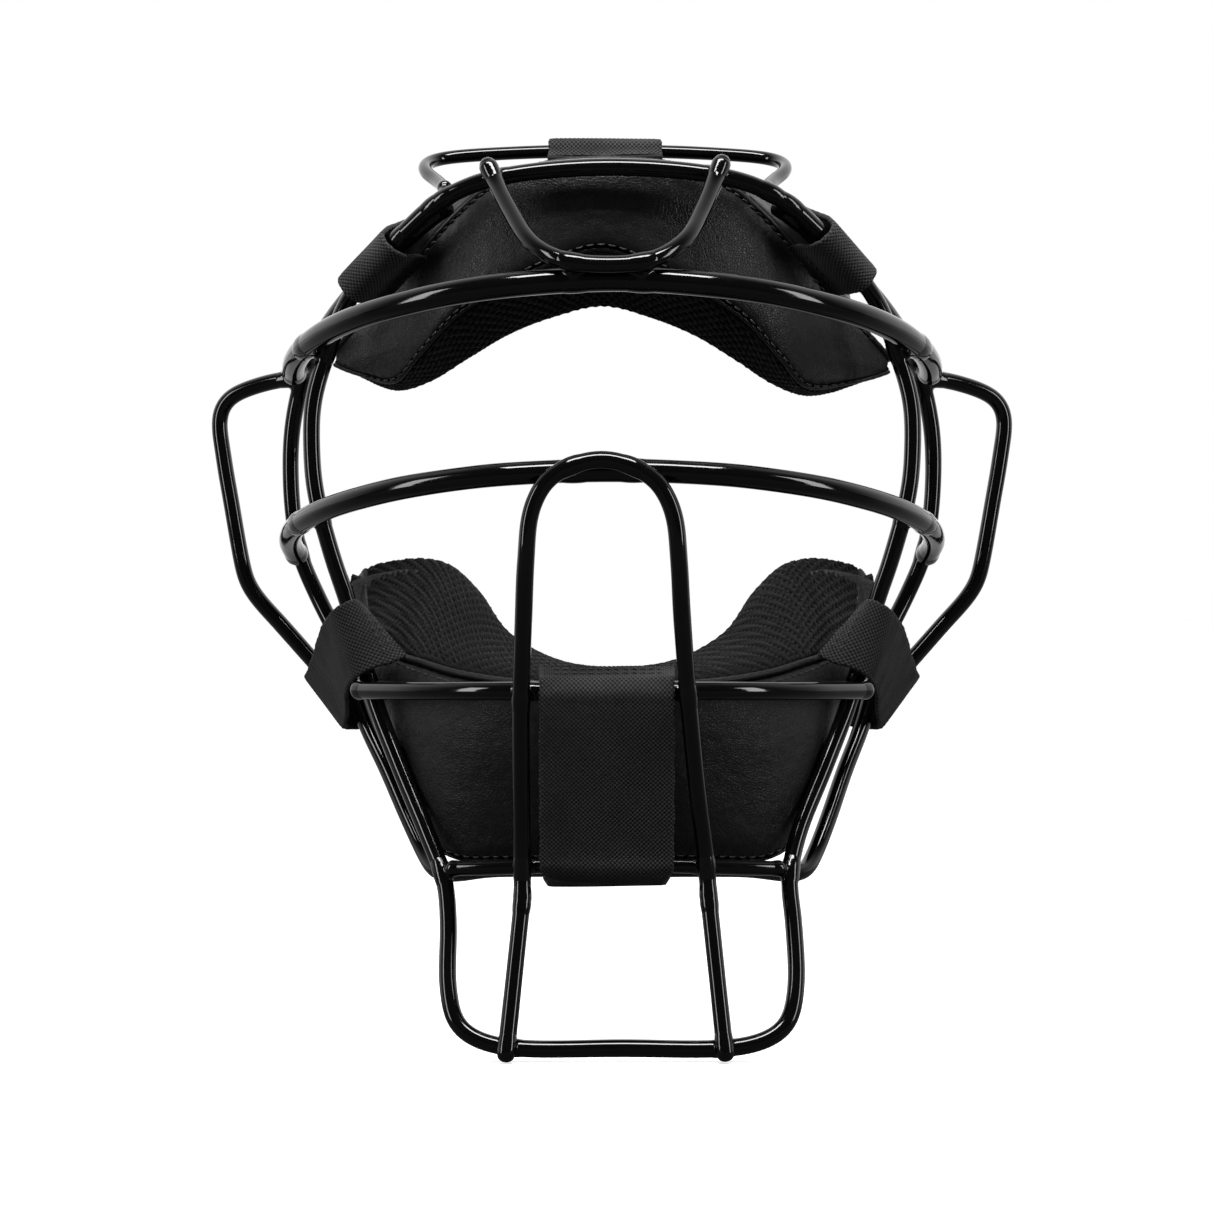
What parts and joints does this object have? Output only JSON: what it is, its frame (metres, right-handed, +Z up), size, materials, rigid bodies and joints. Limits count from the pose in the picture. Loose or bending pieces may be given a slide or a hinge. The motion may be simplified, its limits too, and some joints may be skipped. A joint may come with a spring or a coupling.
{
  "type": "catcher's mask",
  "caption": "Face guard for ball sports: a cage of round coated wires with padded brow and chin cushions held on by hook-and-loop straps that peel open.",
  "frame": {"origin": "on the plane of the rear side wires, midway across the mask, at the height of the wearer's nose", "axes": "+X to the wearer's left, -Y the way the wearer looks, +Z up"},
  "size_m": [0.2364, 0.1217, 0.259],
  "materials": {
    "coated_wire": "gloss black dipped coating",
    "leather": "satin fine-grained synthetic leather",
    "spacer_mesh": "matte knitted mesh with small oval holes",
    "foam": "closed-cell foam",
    "webbing": "matte woven hook-and-loop webbing"
  },
  "bodies": {
    "cage": {"front_frame_wire": "coated_wire", "rear_frame_wire": "coated_wire", "brow_bar": "coated_wire", "eye_bar": "coated_wire", "upper_chin_bar": "coated_wire", "lower_chin_bar": "coated_wire", "nose_guard": "coated_wire", "throat_rod_right": "coated_wire", "throat_rod_left": "coated_wire", "bumper": "coated_wire", "top_strap_loop": "coated_wire", "ear_loop_left": "coated_wire", "ear_loop_right": "coated_wire", "brow_pad_front_cover": "leather", "brow_pad_mesh_cover": "spacer_mesh", "brow_pad_foam": "foam", "chin_pad_front_cover": "leather", "chin_pad_mesh_cover": "spacer_mesh", "chin_pad_foam": "foam", "top_strap_sewn_part": "webbing", "chin_strap_sewn_part": "webbing", "upper_strap_left_sewn_part": "webbing", "upper_strap_right_sewn_part": "webbing", "lower_strap_left_sewn_part": "webbing", "lower_strap_right_sewn_part": "webbing"},
    "top_strap_tail": {"top_strap_tail": "webbing"},
    "chin_strap_tail": {"chin_strap_tail": "webbing"},
    "upper_strap_left_tail": {"upper_strap_left_tail": "webbing"},
    "upper_strap_right_tail": {"upper_strap_right_tail": "webbing"},
    "lower_strap_left_tail": {"lower_strap_left_tail": "webbing"},
    "lower_strap_right_tail": {"lower_strap_right_tail": "webbing"}
  },
  "joints": [
    {"name": "top_strap_peel", "type": "hinge", "parent": "cage", "child": "top_strap_tail", "pos_m": [-0.002, -0.01793, 0.12947], "axis": [1, 0, 0], "range_deg": [0, 110]},
    {"name": "chin_strap_peel", "type": "hinge", "parent": "cage", "child": "chin_strap_tail", "pos_m": [-0.0015, -0.07169, -0.07594], "axis": [-1, 0, 0], "range_deg": [0, 100]},
    {"name": "upper_strap_left_peel", "type": "hinge", "parent": "cage", "child": "upper_strap_left_tail", "pos_m": [0.06362, -0.03735, 0.1061], "axis": [0.6394, 0.4269, -0.6394], "range_deg": [0, 100]},
    {"name": "upper_strap_right_peel", "type": "hinge", "parent": "cage", "child": "upper_strap_right_tail", "pos_m": [-0.06622, -0.03555, 0.1035], "axis": [0.6394, -0.4269, 0.6394], "range_deg": [0, 100]},
    {"name": "lower_strap_left_peel", "type": "hinge", "parent": "cage", "child": "lower_strap_left_tail", "pos_m": [0.07815, 0.01024, -0.02816], "axis": [-0.5803, -0.3602, -0.7304], "range_deg": [0, 110]},
    {"name": "lower_strap_right_peel", "type": "hinge", "parent": "cage", "child": "lower_strap_right_tail", "pos_m": [-0.07815, 0.01024, -0.02816], "axis": [-0.5803, 0.3602, 0.7304], "range_deg": [0, 110]}
  ]
}
